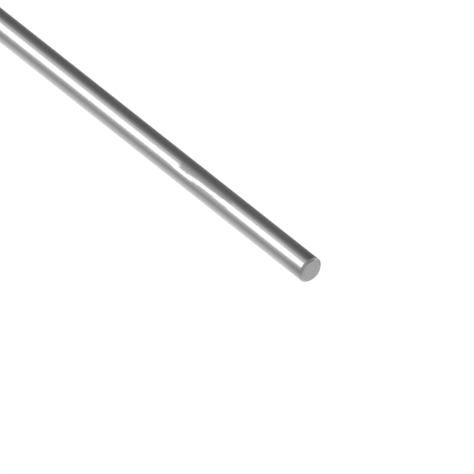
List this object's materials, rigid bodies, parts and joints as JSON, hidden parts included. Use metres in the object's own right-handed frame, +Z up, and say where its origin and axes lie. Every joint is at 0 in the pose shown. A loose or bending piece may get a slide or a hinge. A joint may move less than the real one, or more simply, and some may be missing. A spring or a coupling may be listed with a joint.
{
  "type": "stainless steel round bar",
  "caption": "Straight solid round bar of bright stainless steel, cut to length, with both ends faced flat and chamfered.",
  "frame": {"origin": "under the middle of the bar's length, on the line where it rests on the ground", "axes": "+X along the bar's axis towards the end that the picture shows, +Z up"},
  "size_m": [0.3, 0.012, 0.012],
  "materials": {
    "stainless_steel": "bright drawn and polished, with a semi-matt turned face on each end"
  },
  "bodies": {
    "root": {"round_bar": "stainless_steel"}
  },
  "joints": []
}
